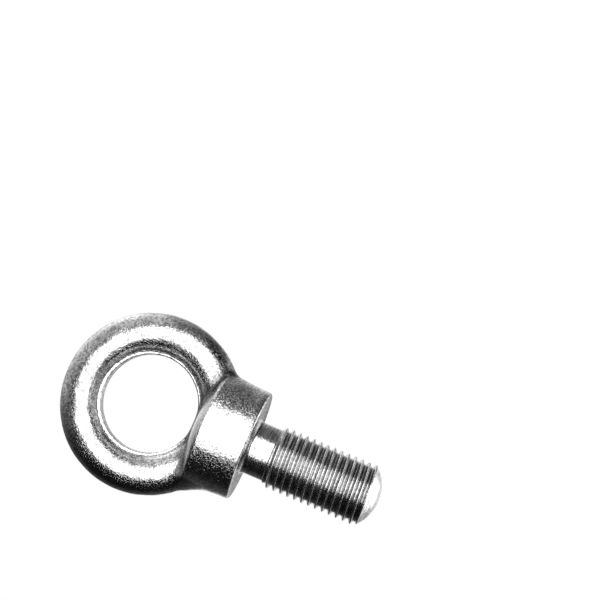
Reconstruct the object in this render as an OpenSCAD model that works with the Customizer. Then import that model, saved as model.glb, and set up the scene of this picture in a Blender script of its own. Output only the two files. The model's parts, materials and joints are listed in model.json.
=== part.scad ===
// Collared lifting eye bolt, M30 x 3.5.
// One forging, built as its named regions: the eye ring, the collar that
// carries it, the relieved neck and the threaded shank. They meet face to face.
// Frame: +Z runs along the bolt axis towards the eye, the eye opens along Y,
// and the origin is the centre of the collar's seating face.

/* [Eye ring] */
// Outside diameter of the eye ring
ring_outer_d = 87; // [84:0.5:92]
// Diameter of the eye's opening, across the trimmed land
eye_d = 46; // [44:0.5:48]
// How far the trimmed land stands in from the round section of the ring
land_proud = 1.1; // [0.6:0.1:1.6]
// Thickness of the trimmed land, along the eye's axis
land_t = 7; // [2:0.5:10]
// Height of the eye's centre above the seating face
eye_height = 52; // [51.5:0.5:56]

/* [Collar] */
// Diameter of the collar where it seats
seat_d = 53; // [50:0.5:56]
// Forging draft on the collar's side, in degrees
draft_angle = 4.5; // [2:0.5:7]
// Height of the collar's shoulder above the seating face
shoulder_h = 22.5; // [20:0.5:23]
// Gap between the crown of the collar and the eye's opening
crown_gap = 0.4; // [0.2:0.1:1]
// Bevel round the edge of the seating face
seat_bevel = 0.6; // [0.3:0.1:1.2]

/* [Shank] */
// Nominal thread diameter
thread_d = 30; // [29:0.5:31]
// Thread pitch
pitch = 3.5; // [3:0.25:4]
// Number of full thread crests
crest_count = 14; // [8:1:15]
// Length from the seating face to the end of the point
shank_l = 65; // [64:0.5:80]
// Length of the relieved neck under the collar
neck_l = 11; // [9:0.5:12]
// Diameter of the relieved neck
neck_d = 25.4; // [24.5:0.1:25.6]
// Radius of the fillet between the neck and the collar
neck_fillet = 2; // [1:0.25:2.25]
// How far the neck's root runs up into the collar
neck_root_h = 2; // [1:0.5:6]
// Height of the domed end of the point
dome_h = 2.9; // [2:0.1:4]
// Diameter where the point's chamfer meets its domed end
dome_d = 21; // [16:0.5:24]

/* [Hidden] */
$fn = 96;

forged_steel = [0.74, 0.75, 0.76];
turned_steel = [0.70, 0.71, 0.73];

ring_section_d = (ring_outer_d - eye_d) / 2 - land_proud;
ring_mid_r = (ring_outer_d - ring_section_d) / 2;
shoulder_r = seat_d / 2 + shoulder_h * tan(draft_angle);
crown_h = eye_height - eye_d / 2 - crown_gap;
crown_rise = crown_h - shoulder_h;
crown_r = (shoulder_r * shoulder_r + crown_rise * crown_rise) / (2 * crown_rise);

// Standard 60 degree metric thread: an eighth of the pitch is left flat on
// each crest and a quarter of it at each root.
crest_flat = pitch / 8;
root_flat = pitch / 4;
thread_depth = (pitch - crest_flat - root_flat) / 2 * tan(60);
thread_r = thread_d / 2;
root_r = thread_r - thread_depth;
flank_l = (pitch - crest_flat - root_flat) / 2;
neck_flare_r = neck_d / 2 + neck_fillet;
first_crest = neck_l + flank_l + crest_flat / 2;
last_crest_end = first_crest + (crest_count - 1) * pitch + crest_flat / 2;
dome_top = dome_h - shank_l;
dome_r = (dome_d * dome_d / 4 + dome_h * dome_h) / (2 * dome_h);

// Turns a solid about Z so that its axis lies along Y, through the eye's centre.
module at_eye() {
    translate([0, 0, eye_height]) rotate([90, 0, 0]) children();
}

// A full round ring, with the land left by trimming the forging's inner flash.
module ring_solid() {
    at_eye() rotate_extrude() {
        translate([ring_mid_r, 0]) circle(d = ring_section_d);
        translate([eye_d / 2, -land_t / 2]) square([ring_section_d / 2, land_t]);
    }
}

module eye_ring() {
    color(forged_steel) ring_solid();
}

// Half outline of the collar: a bevelled seat and a drafted side.
module collar_side_outline() {
    polygon([
        [0, 0],
        [seat_d / 2 - seat_bevel, 0],
        [seat_d / 2 + seat_bevel * tan(draft_angle), seat_bevel],
        [shoulder_r + (crown_h - shoulder_h) * tan(draft_angle), crown_h],
        [0, crown_h]
    ]);
}

// The collar's crown is a shallow dome, and the ring sits in it in a saddle.
// The seat is a ring round the neck's root.
module collar() {
    color(forged_steel) difference() {
        rotate_extrude() intersection() {
            collar_side_outline();
            translate([0, crown_h - crown_r]) circle(r = crown_r, $fn = 360);
        }
        ring_solid();
        cylinder(r = neck_flare_r, h = neck_root_h);
    }
}

// The neck is relieved to the thread's root. It flares into the seat, and its
// root stands in the collar.
module shank_neck() {
    color(turned_steel) rotate_extrude() {
        translate([0, -neck_l]) square([neck_d / 2, neck_l]);
        difference() {
            translate([0, -neck_fillet]) square([neck_flare_r, neck_fillet + neck_root_h]);
            translate([neck_flare_r, -neck_fillet]) circle(r = neck_fillet);
        }
    }
}

// Outline of one crest and the flanks on either side of it.
function crest_outline(z) = [
    [root_r, z + crest_flat / 2 + flank_l],
    [thread_r, z + crest_flat / 2],
    [thread_r, z - crest_flat / 2],
    [root_r, z - crest_flat / 2 - flank_l]
];

// Thread crests as level rings at the true pitch, so that each crest is a
// true cylinder.
module crests_outline() {
    crests = [for (i = [0 : crest_count - 1]) each crest_outline(-first_crest - i * pitch)];
    polygon(concat([[0, -neck_l]], crests, [[root_r, -shank_l], [0, -shank_l]]));
}

// The chamfer that leads the thread in, down to the edge of the domed end.
module lead_in_outline() {
    polygon([
        [0, -neck_l],
        [thread_r, -neck_l],
        [thread_r, -last_crest_end],
        [dome_d / 2, dome_top],
        [dome_d / 2, -shank_l],
        [0, -shank_l]
    ]);
}

// The domed end, and all that is above it.
module dome_outline() {
    translate([0, dome_top]) square([thread_r, shank_l]);
    translate([0, dome_r - shank_l]) circle(r = dome_r, $fn = 360);
}

module threaded_shank() {
    color(turned_steel) rotate_extrude() intersection() {
        crests_outline();
        lead_in_outline();
        dome_outline();
    }
}

eye_ring();
collar();
shank_neck();
threaded_shank();
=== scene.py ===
"""Collared lifting eye bolt: the visible surfaces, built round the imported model.

Lengths in the mesh code are millimetres, in the part's own frame: +Z runs along
the bolt towards the eye, the eye opens along Y, and the seat is at Z = 0.
"""
import json
import math

import bpy
import numpy as np
from mathutils import Matrix, Vector


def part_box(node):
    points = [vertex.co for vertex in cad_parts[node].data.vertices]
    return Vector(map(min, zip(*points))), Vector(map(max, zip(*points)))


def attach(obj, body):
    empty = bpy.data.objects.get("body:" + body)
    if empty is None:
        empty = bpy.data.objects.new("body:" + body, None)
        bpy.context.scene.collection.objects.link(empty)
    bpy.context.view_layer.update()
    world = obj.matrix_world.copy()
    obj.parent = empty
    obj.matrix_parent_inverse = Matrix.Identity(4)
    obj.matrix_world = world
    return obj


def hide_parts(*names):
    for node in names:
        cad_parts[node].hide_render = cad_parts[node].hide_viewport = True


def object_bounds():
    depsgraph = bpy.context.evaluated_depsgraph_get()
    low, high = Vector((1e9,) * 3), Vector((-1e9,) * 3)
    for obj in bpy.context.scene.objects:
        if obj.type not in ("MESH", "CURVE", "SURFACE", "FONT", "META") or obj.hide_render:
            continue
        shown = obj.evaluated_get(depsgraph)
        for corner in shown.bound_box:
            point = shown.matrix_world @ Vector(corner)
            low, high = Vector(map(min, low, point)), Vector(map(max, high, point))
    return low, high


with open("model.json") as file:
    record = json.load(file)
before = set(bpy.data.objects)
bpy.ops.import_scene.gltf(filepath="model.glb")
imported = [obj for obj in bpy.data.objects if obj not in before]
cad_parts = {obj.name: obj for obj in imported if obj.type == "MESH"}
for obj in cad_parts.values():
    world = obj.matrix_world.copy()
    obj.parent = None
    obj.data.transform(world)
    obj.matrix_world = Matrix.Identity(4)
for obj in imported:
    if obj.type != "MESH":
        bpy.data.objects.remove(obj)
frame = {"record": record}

cad_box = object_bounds()

# ---------------------------------------------------------------- dimensions

MM = 1000.0
MOUNTS = {mount["name"]: mount for mount in frame["record"]["mounts"]}


def node_box(node):
    """A node's lowest and highest corners, in millimetres."""
    low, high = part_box(node)
    return [value * MM for value in low], [value * MM for value in high]


ring_low, ring_high = node_box("eye_ring")
collar_low, collar_high = node_box("collar")
neck_low, neck_high = node_box("shank_neck")
shank_low, shank_high = node_box("threaded_shank")

# The ring, and the trimmed land at the inside of its section.
EYE_Z = (ring_low[2] + ring_high[2]) / 2
EYE_R = MOUNTS["eye"]["dims"]["r_mm"]
LAND_T = MOUNTS["eye"]["dims"]["length_mm"]
SECTION_R = (ring_high[1] - ring_low[1]) / 2
RING_R = (ring_high[0] - ring_low[0]) / 2
MID_R = RING_R - SECTION_R
LAND_EDGE = 1.0
LAND_FILLET = 0.7

# The collar: a drafted side from its seat up to its shoulder, and a domed crown.
SHOULDER_R = (collar_high[1] - collar_low[1]) / 2
SEAT_R = 26.5
DRAFT = math.radians(4.5)
CROWN_Z = collar_high[2]
SHOULDER_Z = (SHOULDER_R - SEAT_R) / math.tan(DRAFT)
CROWN_RISE = CROWN_Z - SHOULDER_Z
CROWN_R = (SHOULDER_R ** 2 + CROWN_RISE ** 2) / (2 * CROWN_RISE)
SHOULDER_ROUND = 1.6
SEAT_EDGE = 1.2
BASE_H = 2.5

# Where the ring runs into the collar: its fillet is wider at the heel, on the -X
# side, and painted shade darkens the steel within CREASE_W of the crease.
SADDLE_FILLET = 2.0
HEEL_FILLET = 7.0
HEEL_START, HEEL_END = 18, 27
CREASE_W = 7.0

# The neck, whose flared root stands in the collar.
FLARE_R = (neck_high[0] - neck_low[0]) / 2
NECK_FILLET = 2.0
NECK_R = FLARE_R - NECK_FILLET
NECK_Z = neck_low[2]
ROOT_H = neck_high[2]

# The thread. It runs in at the neck and out at the point, both on cones whose
# radius grows by these slopes for each millimetre along the shank.
THREAD_R = MOUNTS["thread"]["dims"]["r_mm"]
PITCH = 3.5
CREST_W = PITCH / 8
FLANK_SLOPE = math.tan(math.radians(60))
ROOT_R = THREAD_R - 1.894
FIRST_CREST_Z = -12.75
RUN_IN_SLOPE = 1.1
POINT_SLOPE = 1.31
TIP_Z = shank_low[2]
DOME_H = 2.9
DOME_EDGE_R = 10.5

# ---------------------------------------------------------------- mesh making


def make_object(name, points, faces, normals=None):
    """A smooth-shaded mesh object; points are in millimetres, normals per corner."""
    mesh = bpy.data.meshes.new(name)
    mesh.from_pydata((np.asarray(points) / MM).tolist(), [], [list(f) for f in faces])
    mesh.validate()
    mesh.polygons.foreach_set("use_smooth", np.full(len(mesh.polygons), True))
    if normals is not None:
        mesh.normals_split_custom_set(normals.tolist())
    mesh.update()
    piece = bpy.data.objects.new(name, mesh)
    bpy.context.scene.collection.objects.link(piece)
    return piece


def add_shade(piece, name, values):
    """Keeps a value for each point of a piece, for its material to read."""
    shade = piece.data.attributes.new(name, "FLOAT", "POINT")
    shade.data.foreach_set("value", values)


def round_union(a, b, radius):
    """Distance to the union of two solids, with a round fillet between them."""
    inside = np.hypot(np.maximum(radius - a, 0), np.maximum(radius - b, 0))
    return np.maximum(radius, np.minimum(a, b)) - inside


def round_overlap(a, b, radius):
    """Distance to what two solids share, with its edge rounded."""
    outside = np.hypot(np.maximum(radius + a, 0), np.maximum(radius + b, 0))
    return np.minimum(-radius, np.maximum(a, b)) + outside


def ease(value, start, end):
    """0 at start, 1 at end, and smooth between them."""
    t = np.clip((value - start) / (end - start), 0, 1)
    return t * t * (3 - 2 * t)


RELIEF = ((23.0, 0.05), (11.0, 0.035), (5.5, 0.02))
WAVES_IN_SET = 4
RELIEF_RISE = 3


def relief(p):
    """The forging's slow unevenness: how far its skin lies under the true shape.

    It is made of sets of waves in random directions, each set with a wavelength
    and a height from RELIEF, and it dies out towards the machined base.
    """
    rng = np.random.default_rng(7)
    total = np.zeros(len(p))
    for wavelength, height in RELIEF:
        for _ in range(WAVES_IN_SET):
            direction = rng.normal(size=3)
            direction /= np.linalg.norm(direction)
            phase = rng.uniform(0, 2 * math.pi)
            total += height / 2 * (1 + np.sin(p @ direction * 2 * math.pi / wavelength + phase))
    return total * ease(p[:, 2], BASE_H, BASE_H + RELIEF_RISE)


# ---------------------------------------------------------------- forged head


def ring_distance(p):
    """Distance to the ring: a round section with a trimmed land at its inside."""
    reach = np.hypot(p[:, 0], p[:, 2] - EYE_Z)
    section = np.hypot(reach - MID_R, p[:, 1]) - SECTION_R
    middle, half = (EYE_R + MID_R) / 2, (MID_R - EYE_R) / 2
    across = np.abs(reach - middle) - half + LAND_EDGE
    along = np.abs(p[:, 1]) - LAND_T / 2 + LAND_EDGE
    land = np.hypot(np.maximum(across, 0), np.maximum(along, 0))
    land = land + np.minimum(np.maximum(across, along), 0) - LAND_EDGE
    return round_union(section, land, LAND_FILLET)


def collar_distance(p):
    """Distance to the collar: a drafted side under a shallow domed crown."""
    out = np.hypot(p[:, 0], p[:, 1])
    side = (out - SEAT_R - p[:, 2] * math.tan(DRAFT)) * math.cos(DRAFT)
    crown = np.hypot(out, p[:, 2] - CROWN_Z + CROWN_R) - CROWN_R
    return round_overlap(side, crown, SHOULDER_ROUND)


def head_distance(p):
    """Distance to the ring and the collar together, filleted into each other."""
    fillet = SADDLE_FILLET + (HEEL_FILLET - SADDLE_FILLET) * ease(-p[:, 0], HEEL_START, HEEL_END)
    return round_union(ring_distance(p), collar_distance(p), fillet)


def seam_distance(p):
    """Zero where the ring's side of the forging turns into the collar's."""
    return ring_distance(p) - collar_distance(p)


def base_distance(p):
    """Zero where the collar's body meets its base."""
    return BASE_H - p[:, 2]


def skin_distance(p):
    """Distance to the forging's true skin."""
    return head_distance(p) + relief(p)


def crease_shade_mask(p):
    """1 in the crease between the ring and the collar, 0 some way out of it."""
    # The result sets how strongly painted shade darkens the steel in the crease.
    return np.clip(1 - (ring_distance(p) + collar_distance(p)) / CREASE_W, 0, 1)


def slope(field, p, step=1e-3):
    """The gradient of a field at each point."""
    parts = []
    for axis in range(3):
        shift = np.zeros(3)
        shift[axis] = step
        parts.append((field(p + shift) - field(p - shift)) / (2 * step))
    return np.stack(parts, axis=1)


def settle(p, fields, passes=4):
    """Moves points the shortest way onto the surfaces where every field is zero."""
    for _ in range(passes):
        values = np.stack([field(p) for field in fields], axis=1)
        slopes = np.stack([slope(field, p) for field in fields], axis=1)
        square = slopes @ slopes.transpose(0, 2, 1) + 1e-9 * np.eye(len(fields))
        step = np.linalg.solve(square, values[..., None])
        p = p - (slopes.transpose(0, 2, 1) @ step)[..., 0]
    return p


def graded(stops):
    """Positions along a line: each stop is (end, step), from the one before it."""
    line = [stops[0][0]]
    for end, step in stops[1:]:
        count = max(1, round((end - line[-1]) / step))
        line.extend(np.linspace(line[-1], end, count + 1)[1:])
    return np.array(line)


OUTSIDE, RING, COLLAR, BASE = 0, 1, 2, 3


class Lattice:
    """A grid of labelled points round the eye's axis: by angle, reach and depth.

    It is finer at the collar and at the land's edges. Each cell whose corners have
    different labels gets one point of the mesh, so the ring and the collar share
    their points along the seam.
    """

    def __init__(self):
        # The angle from straight down: the collar lies within a radian of it.
        turn = graded([(-math.pi, 0), (-1.0, 0.034), (1.0, 0.0115), (math.pi, 0.034)])[:-1]
        # How far from the axis: the land, the rest of the ring, then the collar.
        reach = graded([(EYE_R - 0.4, 0), (EYE_R + 1.6, 0.2), (44.5, 0.5), (57.5, 0.6)])
        # How far to either side of the ring's middle plane.
        edge = LAND_T / 2
        half = graded([(0, 0), (edge - 0.6, 0.4), (edge + 0.6, 0.2), (11, 0.5),
                       (SHOULDER_R + 1.2, 0.6)])
        across = np.concatenate([-half[:0:-1], half])
        self.size = (len(turn), len(reach), len(across))
        t, r, y = np.meshgrid(turn, reach, across, indexing="ij")
        spots = np.stack([r * np.sin(t), y, EYE_Z - r * np.cos(t)], axis=-1)
        self.spots = spots
        flat = spots.reshape(-1, 3)
        label = np.where(seam_distance(flat) < 0, RING, COLLAR)
        label = np.where(base_distance(flat) > 0, BASE, label)
        label = np.where(head_distance(flat) > 0, OUTSIDE, label)
        self.label = label.reshape(self.size)
        for _ in range(4):
            self.untangle(RING)
            self.untangle(COLLAR)

    def untangle(self, piece):
        """Fills in the piece where it would touch itself only corner to corner."""
        for first, second in ((0, 1), (1, 2), (0, 2)):
            inside = self.label == piece
            beside = np.roll(inside, -1, axis=first)
            above = np.roll(inside, -1, axis=second)
            opposite = np.roll(beside, -1, axis=second)
            crossed = (inside == opposite) & (beside == above) & (inside != beside)
            self.label[crossed & ~inside] = piece
            self.label[np.roll(crossed & inside, 1, axis=first)] = piece

    def cell(self, i, j, k):
        """A cell's own number."""
        return ((i % self.size[0]) * self.size[1] + j) * self.size[2] + k

    def walls(self, piece):
        """Quads round a piece, facing out, and what lies on their other side."""
        quads, beyond = [], []
        for axis in range(3):
            here = self.label
            there = np.roll(here, -1, axis=axis)
            for inside, outside, flip in ((here, there, False), (there, here, True)):
                found = (inside == piece) & (outside != piece)
                if axis == 1:
                    found[:, -1] = False
                if axis == 2:
                    found[:, :, -1] = False
                i, j, k = np.nonzero(found)
                first, second = [(1, 2), (2, 0), (0, 1)][axis]
                quad = []
                for a, b in ((-1, -1), (0, -1), (0, 0), (-1, 0)):
                    move = [0, 0, 0]
                    move[first] = a
                    move[second] = b
                    quad.append(self.cell(i + move[0], j + move[1], k + move[2]))
                if flip:
                    quad = quad[::-1]
                quads.append(np.stack(quad, axis=1))
                beyond.append(outside[i, j, k])
        return np.concatenate(quads), np.concatenate(beyond)

    def corners(self, cells):
        """The grid points and their labels at each cell's eight corners."""
        i, rest = np.divmod(cells, self.size[1] * self.size[2])
        j, k = np.divmod(rest, self.size[2])
        spots, labels = [], []
        for di in (0, 1):
            for dj in (0, 1):
                for dk in (0, 1):
                    at = ((i + di) % self.size[0], j + dj, k + dk)
                    spots.append(self.spots[at])
                    labels.append(self.label[at])
        return np.stack(spots, axis=1), np.stack(labels, axis=1)


def first_points(spots, labels):
    """The middle of the cell edges that cross from one label to another."""
    total = np.zeros((len(spots), 3))
    count = np.zeros(len(spots))
    for a in range(8):
        for bit in (1, 2, 4):
            b = a ^ bit
            if b < a:
                continue
            crossed = labels[:, a] != labels[:, b]
            total[crossed] += (spots[crossed, a] + spots[crossed, b]) / 2
            count[crossed] += 1
    return total / count[:, None]


def smooth_out(points, quads, kinds, rounds=6):
    """Evens out the mesh along its surfaces, and puts it back onto them.

    A point follows only the neighbours that lie on all the surfaces that it is on,
    so points on the seam stay there, and corners stay where they are.
    """
    edges = np.concatenate([quads[:, [n, (n + 1) % 4]] for n in range(4)])
    edges = np.unique(np.sort(edges, axis=1), axis=0)
    edges = np.concatenate([edges, edges[:, ::-1]])
    moved, leader = kinds[edges[:, 0]], kinds[edges[:, 1]]
    edges = edges[(moved & leader) == moved]
    for turn in range(rounds + 1):
        if turn:
            total = np.zeros_like(points)
            np.add.at(total, edges[:, 0], points[edges[:, 1]])
            count = np.bincount(edges[:, 0], minlength=len(points))
            near = total / np.maximum(count, 1)[:, None]
            points = np.where(count[:, None] > 1, (points + near) / 2, points)
        for kind in np.unique(kinds):
            fields = [field for bit, field in FIELDS if kind & bit]
            chosen = kinds == kind
            points[chosen] = settle(points[chosen], fields, 4 if turn in (0, rounds) else 1)
    return points


# The surfaces that a point of the mesh can lie on, as bits that add up.
SKIN, SEAM, PLANE = 1, 2, 4
FIELDS = ((SKIN, skin_distance), (SEAM, seam_distance), (PLANE, base_distance))


def forged_head():
    """The ring and the collar, as two closed pieces that share their seam."""
    lattice = Lattice()
    walls = {piece: lattice.walls(piece) for piece in (RING, COLLAR)}
    every = np.concatenate([walls[RING][0], walls[COLLAR][0]])
    cells, index = np.unique(every, return_inverse=True)
    quads = index.reshape(-1, 4)
    spots, labels = lattice.corners(cells)
    has = [np.any(labels == value, axis=1) for value in (OUTSIDE, RING, COLLAR, BASE)]
    kinds = SKIN * (has[OUTSIDE] & (has[RING] | has[COLLAR]))
    kinds = kinds + SEAM * (has[RING] & has[COLLAR])
    kinds = kinds + PLANE * (has[BASE] & (has[COLLAR] | has[RING]))
    points = smooth_out(first_points(spots, labels), quads, kinds)
    # Where painted shade will darken the crease between the ring and the collar.
    crease_shade = crease_shade_mask(points)
    skin_normals = slope(skin_distance, points)
    skin_normals /= np.linalg.norm(skin_normals, axis=1)[:, None]

    pieces = {}
    start = 0
    for piece, name in ((RING, "ring_forging"), (COLLAR, "collar_forging")):
        beyond = walls[piece][1]
        own = quads[start:start + len(beyond)]
        start += len(beyond)
        used, local = np.unique(own, return_inverse=True)
        local = local.reshape(-1, 4)
        corners = points[used][local]
        flat = np.cross(corners[:, 2] - corners[:, 0], corners[:, 3] - corners[:, 1])
        flat /= np.maximum(np.linalg.norm(flat, axis=1), 1e-12)[:, None]
        normals = skin_normals[own]
        inner = beyond != OUTSIDE
        normals[inner] = flat[inner][:, None]
        pieces[name] = make_object(name, points[used], local, normals.reshape(-1, 3))
        # Kept for the material, which paints shade into the crease with it.
        add_shade(pieces[name], "crease", crease_shade[used])
    return pieces


# ---------------------------------------------------------------- turned parts


def rounded(corners):
    """An outline of (r, z) points from corners given as (r, z, rounding radius)."""
    outline = []
    for n, (r, z, radius) in enumerate(corners):
        here = Vector((r, z))
        if radius == 0:
            outline.append((r, z))
            continue
        before = (Vector(corners[n - 1][:2]) - here).normalized()
        after = (Vector(corners[(n + 1) % len(corners)][:2]) - here).normalized()
        half = before.angle(after) / 2
        centre = here + (before + after).normalized() * (radius / math.sin(half))
        start = here + before * (radius / math.tan(half)) - centre
        end = here + after * (radius / math.tan(half)) - centre
        sweep = start.angle_signed(end)
        steps = max(2, math.ceil(abs(sweep) / math.radians(9)))
        for step in range(steps + 1):
            spoke = start.copy()
            spoke.rotate(Matrix.Rotation(-sweep * step / steps, 2))
            outline.append(tuple(centre + spoke))
    return [p for n, p in enumerate(outline) if math.dist(p, outline[n - 1]) > 1e-4]


def turned(name, outline, columns=180):
    """A closed solid made by turning an outline about Z; r = 0 makes a pole."""
    points, rings = [], []
    for r, z in outline:
        if r == 0:
            rings.append([len(points)] * columns)
            points.append((0, 0, z))
            continue
        rings.append(list(range(len(points), len(points) + columns)))
        for column in range(columns):
            angle = 2 * math.pi * column / columns
            points.append((r * math.cos(angle), r * math.sin(angle), z))
    faces = []
    last = len(rings) if outline[0][0] else len(rings) - 1
    for n in range(last):
        upper, lower = rings[n], rings[(n + 1) % len(rings)]
        for column in range(columns):
            after = (column + 1) % columns
            corners = [upper[column], lower[column], lower[after], upper[after]]
            faces.append(list(dict.fromkeys(corners)))
    return sharpen(make_object(name, points, faces))


def sharpen(piece, degrees=35):
    """Keeps the edges sharper than this crisp, on a smooth-shaded piece."""
    piece.data.set_sharp_from_angle(angle=math.radians(degrees))
    return piece


def collar_base():
    """The lowest part of the collar, open where the neck's root stands in it."""
    top_r = SEAT_R + BASE_H * math.tan(DRAFT)
    return turned("collar_base", rounded([
        (top_r, BASE_H, 0),
        (FLARE_R, BASE_H, 0),
        (FLARE_R, 0, 0),
        (SEAT_R, 0, SEAT_EDGE),
    ]), columns=240)


def neck():
    """The plain shank under the seat, flared at its root."""
    return turned("neck_turned", rounded([
        (0, ROOT_H, 0),
        (FLARE_R, ROOT_H, 0),
        (FLARE_R, 0, 0),
        (NECK_R, 0, NECK_FILLET),
        (NECK_R, NECK_Z, 0),
        (0, NECK_Z, 0),
    ]))


def soft_min(a, b, width):
    """The smaller of two heights, with the crease between them rounded."""
    overlap = np.maximum(width - np.abs(a - b), 0) / width
    return np.minimum(a, b) - overlap ** 2 * width / 4


def soft_max(a, b, width):
    """The larger of two heights, with the crease between them rounded."""
    return -soft_min(-a, -b, width)


def point_radius(z):
    """The radius of the cone that the shank's point is cut to."""
    return DOME_EDGE_R + (z - TIP_Z - DOME_H) * POINT_SLOPE


def thread_surface(angle, z):
    """The shank's radius at an angle and a height: a right-hand 60 degree thread."""
    climb = PITCH * angle / (2 * math.pi)
    from_crest = (z - FIRST_CREST_Z - climb + PITCH / 2) % PITCH - PITCH / 2
    flank = THREAD_R - (np.abs(from_crest) - CREST_W / 2) * FLANK_SLOPE
    r = soft_max(soft_min(flank, THREAD_R, 0.3), ROOT_R, 0.35)
    run_in = NECK_R + (NECK_Z - z) * RUN_IN_SLOPE
    return soft_min(soft_min(r, run_in, 0.5), point_radius(z), 0.8)


def thread_shade_depth(r, z):
    """How deep a point lies in the thread: 0 on its outside, and 1 at its root."""
    outside = np.minimum(THREAD_R, point_radius(z))
    return np.clip((outside - r) / (THREAD_R - ROOT_R), 0, 1)


def close_ends(points, faces, angles, top, edge_r, rings=12):
    """Adds the shank's dome, below its second ring of points, and its flat top.

    The shank's first points are the ring round its top, and the next ones are the
    ring of radius edge_r round its bottom.
    """
    columns = len(angles)
    dome_r = (edge_r ** 2 + DOME_H ** 2) / (2 * DOME_H)
    ring = list(range(columns, 2 * columns))
    for share in np.linspace(1, 0, rings + 2)[1:-1]:
        lean = share * math.asin(edge_r / dome_r)
        out = dome_r * math.sin(lean)
        level = TIP_Z + dome_r * (1 - math.cos(lean))
        lower = list(range(len(points), len(points) + columns))
        for angle in angles:
            points.append((out * math.cos(angle), out * math.sin(angle), level))
        for n in range(columns):
            after = (n + 1) % columns
            faces.append([ring[n], lower[n], lower[after], ring[after]])
        ring = lower
    tip, middle = len(points), len(points) + 1
    points += [(0, 0, TIP_Z), (0, 0, top)]
    for n in range(columns):
        after = (n + 1) % columns
        faces.append([ring[n], tip, ring[after]])
        faces.append([n, after, middle])


def threaded_shank(columns=160, rows=16):
    """The thread, on rows that wind with it, closed by a flat top and a domed end.

    A row drops by a step from the one above it, and climbs by a pitch in a turn.
    Where it would pass the top or the bottom, it runs along that edge instead.
    """
    top, bottom = NECK_Z, TIP_Z + DOME_H
    step = PITCH / rows
    count = math.ceil((top + PITCH - bottom) / step) + 2
    angles = 2 * math.pi * np.arange(columns) / columns
    z = top - step * np.arange(count)[:, None] + PITCH * angles / (2 * math.pi)
    above, below = z > top - 0.3 * step, z < bottom + 0.3 * step
    index = np.where(above, np.arange(columns), columns + np.arange(columns))
    own = ~above & ~below
    index[own] = 2 * columns + np.arange(own.sum())
    heights = np.concatenate([np.full(columns, top), np.full(columns, bottom), z[own]])
    turns = np.concatenate([angles, angles, np.broadcast_to(angles, z.shape)[own]])
    r = thread_surface(turns, heights)
    points = np.stack([r * np.cos(turns), r * np.sin(turns), heights], axis=1).tolist()

    # After a turn, each row meets the row that starts a pitch above it.
    turn_later = np.concatenate([np.zeros(rows, int), index[:-rows, 0]])
    index = np.concatenate([index, turn_later[:, None]], axis=1)
    faces = []
    for upper, lower in zip(index[:-1], index[1:]):
        for column in range(columns):
            after = column + 1
            corners = [upper[column], lower[column], lower[after], upper[after]]
            corners = list(dict.fromkeys(corners))  # drops corners that coincide
            if len(corners) > 2:
                faces.append(corners)

    close_ends(points, faces, angles, top, thread_surface(0, bottom))
    piece = sharpen(make_object("threaded_steel", points, faces), 70)
    # The depth sets where the material paints shade at the bottom of the thread.
    depth = np.zeros(len(points))
    depth[:len(r)] = thread_shade_depth(r, heights)
    add_shade(piece, "depth", depth)
    return piece


# ---------------------------------------------------------------- node graphs


class Graph:
    """Adds nodes to a node tree; an input is a value or another node's socket."""

    def __init__(self, tree):
        self.tree = tree
        tree.nodes.clear()

    def add(self, kind, inputs=None, **settings):
        """A new node, with its inputs by name or number, and its own settings."""
        node = self.tree.nodes.new(kind)
        for name, value in settings.items():
            setattr(node, name, value)
        for name, value in (inputs or {}).items():
            socket = node.inputs[name]
            if isinstance(value, bpy.types.NodeSocket):
                self.tree.links.new(value, socket)
            else:
                socket.default_value = value
        return node

    def math(self, operation, *values):
        """The result of a sum on one or more values."""
        inputs = dict(enumerate(values))
        return self.add("ShaderNodeMath", inputs, operation=operation).outputs[0]

    def ramp(self, position, stops):
        """A grey level read off a smooth ramp; each stop is (position, level)."""
        node = self.add("ShaderNodeValToRGB", {"Fac": position})
        node.color_ramp.interpolation = "EASE"
        elements = node.color_ramp.elements
        while len(elements) < len(stops):
            elements.new(0.5)
        for element, (where, level) in zip(elements, stops):
            element.position = where
            element.color = (level, level, level, 1)
        return node.outputs["Color"]

    def noise(self, position, scale, detail):
        """Noise from 0 to 1; scale is how many coarse waves fit in a unit of length."""
        node = self.add("ShaderNodeTexNoise", {
            "Vector": position,
            "Scale": scale,
            "Detail": detail,
            "Roughness": 0.55,
        })
        return node.outputs["Fac"]

    def shade(self, name):
        """The values that add_shade kept for a piece's points, or 0 where it has none."""
        return self.add("ShaderNodeAttribute", attribute_name=name).outputs["Fac"]


# ---------------------------------------------------------------- materials


def steel(name, build):
    """Grey metal whose tone, roughness and relief come from build(graph, place).

    build also gives the depth of the relief, in metres.
    """
    material = bpy.data.materials.new(name)
    material.use_nodes = True
    graph = Graph(material.node_tree)
    place = graph.add("ShaderNodeTexCoord").outputs["Object"]
    tone, rough, relief_height, relief_depth = build(graph, place)
    colour = graph.add("ShaderNodeCombineColor", {"Red": tone, "Green": tone, "Blue": tone})
    bump = graph.add("ShaderNodeBump", {
        "Strength": 1.0,
        "Distance": relief_depth,
        "Height": relief_height,
    })
    shader = graph.add("ShaderNodeBsdfPrincipled", {
        "Base Color": colour.outputs["Color"],
        "Metallic": 1.0,
        "Roughness": rough,
        "Normal": bump.outputs["Normal"],
    })
    graph.add("ShaderNodeOutputMaterial", {"Surface": shader.outputs["BSDF"]})
    return material


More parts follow.
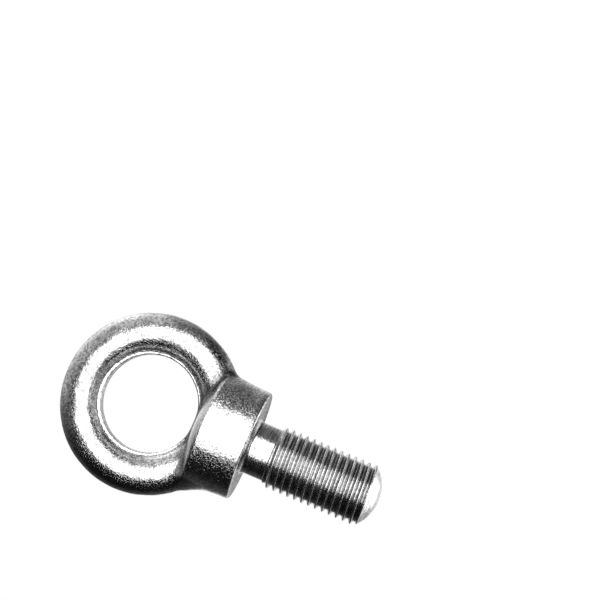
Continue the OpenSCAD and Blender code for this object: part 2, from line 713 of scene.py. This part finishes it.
def forged_steel(graph, place):
    """Bright blasted forging: fine pits, patches of duller skin, and painted crease shade."""
    patches = graph.noise(place, 90, 3)
    grain = graph.noise(place, 800, 3)
    pits = graph.ramp(graph.noise(place, 1500, 2), [(0.36, 0.0), (0.5, 1.0)])
    tone = graph.math("MULTIPLY", graph.ramp(patches, [(0.3, 0.55), (0.7, 0.85)]),
                      graph.ramp(grain, [(0.38, 0.5), (0.56, 1.0)]))
    # Painted shade: the steel darkens towards the crease between the ring and the collar.
    crease = graph.ramp(graph.shade("crease"), [(0.2, 1.0), (0.85, 0.35)])
    tone = graph.math("MULTIPLY", tone, crease)
    rough = graph.ramp(grain, [(0.3, 0.22), (0.7, 0.12)])
    height = graph.math("ADD", grain, graph.math("MULTIPLY", pits, 0.35))
    return tone, rough, height, 0.00013


def turned_steel(graph, place):
    """Machined steel with fine marks that run round it, and painted shade at the bottom of its
    thread.
    """
    stretched = graph.add("ShaderNodeMapping", {
        "Vector": place, "Scale": (60, 60, 1100),
    }).outputs["Vector"]
    marks = graph.noise(stretched, 1, 3)
    grain = graph.noise(place, 900, 3)
    tone = graph.math("MULTIPLY", graph.ramp(marks, [(0.35, 0.45), (0.6, 0.8)]),
                      graph.ramp(grain, [(0.35, 0.6), (0.6, 1.0)]))
    # Painted shade: darker towards the bottom of the thread's grooves.
    root_shade = graph.ramp(graph.shade("depth"), [(0.4, 1.0), (0.95, 0.55)])
    tone = graph.math("MULTIPLY", tone, root_shade)
    rough = graph.ramp(grain, [(0.3, 0.3), (0.7, 0.16)])
    height = graph.math("ADD", marks, graph.math("MULTIPLY", grain, 0.8))
    return tone, rough, height, 0.00012


# ---------------------------------------------------------------- studio


CAMERA_PLACE = (0.0273, -0.5211, -0.0432)
CAMERA_FORWARD = (0.0868, 0.9919, 0.0926)
CAMERA_RIGHT = (0.3882, 0.0519, -0.9201)
CAMERA_LENS = 66

FRONT = Vector((0, -1, 0))
LIGHT_PLACE = (0.034, -0.14, 0.012)
LIGHT_R = 0.125
LIGHT_GLOW = 3.0

# How bright the surroundings are, by the angle from FRONT as a share of half a turn.
SURROUNDINGS = [
    (0.30, 0.01), (0.55, 0.005), (0.68, 0.06), (0.82, 0.10), (0.90, 1.1), (0.96, 0.1),
]
# Glows added to them. Each has the way to its middle, and its brightness by how
# nearly a ray points that way: 1 is straight at it, and 0 straight away from it.
GLOWS = (
    ((0.5, 0.0, 0.87), [(0.6, 0.0), (0.8, 0.14), (0.9, 0.6)]),
    ((0.12, 0.45, -0.89), [(0.8, 0.0), (0.92, 0.7), (1.0, 3.0)]),
    ((0.45, 0.6, 0.66), [(0.82, 0.0), (0.92, 0.3), (1.0, 1.0)]),
)

FLOOR_DROP = 0.3
FLOOR_HALF = 6.0


def studio():
    """Surroundings that look white, but are dark to the steel apart from glows."""
    world = bpy.data.worlds.new("studio")
    bpy.context.scene.world = world
    world.use_nodes = True
    graph = Graph(world.node_tree)
    ray = graph.add("ShaderNodeTexCoord").outputs["Generated"]

    def along(way):
        """The cosine of the angle between a ray and a way."""
        return graph.add("ShaderNodeVectorMath", {
            0: ray, 1: Vector(way).normalized(),
        }, operation="DOT_PRODUCT").outputs["Value"]

    from_front = graph.math("DIVIDE", graph.math("ARCCOSINE", along(FRONT)), math.pi)
    brightness = graph.ramp(from_front, SURROUNDINGS)
    for way, stops in GLOWS:
        toward = graph.math("MULTIPLY_ADD", along(way), 0.5, 0.5)
        brightness = graph.math("ADD", brightness, graph.ramp(toward, stops))
    white = (1, 1, 1, 1)
    seen = graph.add("ShaderNodeBackground", {"Color": white, "Strength": 1.0})
    lit = graph.add("ShaderNodeBackground", {"Color": white, "Strength": brightness})
    camera_ray = graph.add("ShaderNodeLightPath").outputs["Is Camera Ray"]
    mixed = graph.add("ShaderNodeMixShader", {
        0: camera_ray, 1: lit.outputs[0], 2: seen.outputs[0],
    })
    graph.add("ShaderNodeOutputWorld", {"Surface": mixed.outputs[0]})


def front_light():
    """A round softbox in front of the part, which the camera looks through."""
    light = bpy.data.lights.new("front_light", "AREA")
    light.shape = "DISK"
    light.size = 2 * LIGHT_R
    light.energy = LIGHT_GLOW * math.pi * math.pi * LIGHT_R ** 2
    lamp = bpy.data.objects.new("front_light", light)
    bpy.context.scene.collection.objects.link(lamp)
    lamp.visible_camera = False
    lamp.location = LIGHT_PLACE
    lamp.rotation_euler = FRONT.to_track_quat("Z", "Y").to_euler()


def floor():
    """A plain pale floor, well below the part; the steel doesn't reflect it."""
    half, level = FLOOR_HALF, cad_box[0][2] - FLOOR_DROP
    corners = [(-half, -half, level), (half, -half, level),
               (half, half, level), (-half, half, level)]
    mesh = bpy.data.meshes.new("floor")
    mesh.from_pydata(corners, [], [(0, 1, 2, 3)])
    plane = bpy.data.objects.new("floor", mesh)
    bpy.context.scene.collection.objects.link(plane)
    plane.visible_glossy = False
    material = bpy.data.materials.new("pale_floor")
    material.use_nodes = True
    graph = Graph(material.node_tree)
    place = graph.add("ShaderNodeTexCoord").outputs["Object"]
    tone = graph.ramp(graph.noise(place, 4, 2), [(0.3, 0.88), (0.7, 0.92)])
    shader = graph.add("ShaderNodeBsdfPrincipled", {
        "Base Color": tone,
        "Roughness": 0.9,
        "Emission Color": (1, 1, 1, 1),
        "Emission Strength": 1.0,
    })
    graph.add("ShaderNodeOutputMaterial", {"Surface": shader.outputs["BSDF"]})
    mesh.materials.append(material)


def camera():
    """Looks nearly along the eye's axis, rolled so that the eye is at the upper left."""
    data = bpy.data.cameras.new("camera")
    data.lens = CAMERA_LENS
    eye = bpy.data.objects.new("camera", data)
    bpy.context.scene.collection.objects.link(eye)
    forward, right = Vector(CAMERA_FORWARD).normalized(), Vector(CAMERA_RIGHT)
    right = (right - forward * right.dot(forward)).normalized()
    turn = Matrix((right, right.cross(forward), -forward)).transposed()
    eye.matrix_world = Matrix.Translation(Vector(CAMERA_PLACE)) @ turn.to_4x4()
    bpy.context.scene.camera = eye


# ---------------------------------------------------------------- assembly

studio()
front_light()
floor()
camera()

head = forged_head()
parts = [
    (head["ring_forging"], "eye_ring", "forged_steel"),
    (head["collar_forging"], "collar", "forged_steel"),
    (collar_base(), "collar", "forged_steel"),
    (neck(), "shank_neck", "turned_steel"),
    (threaded_shank(), "threaded_shank", "turned_steel"),
]
finishes = {
    "forged_steel": steel("forged_steel", forged_steel),
    "turned_steel": steel("turned_steel", turned_steel),
}
for piece, node, finish in parts:
    piece.data.materials.append(finishes[finish])
    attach(piece, "root")
    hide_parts(node)

bpy.context.scene.view_settings.view_transform = "Standard"
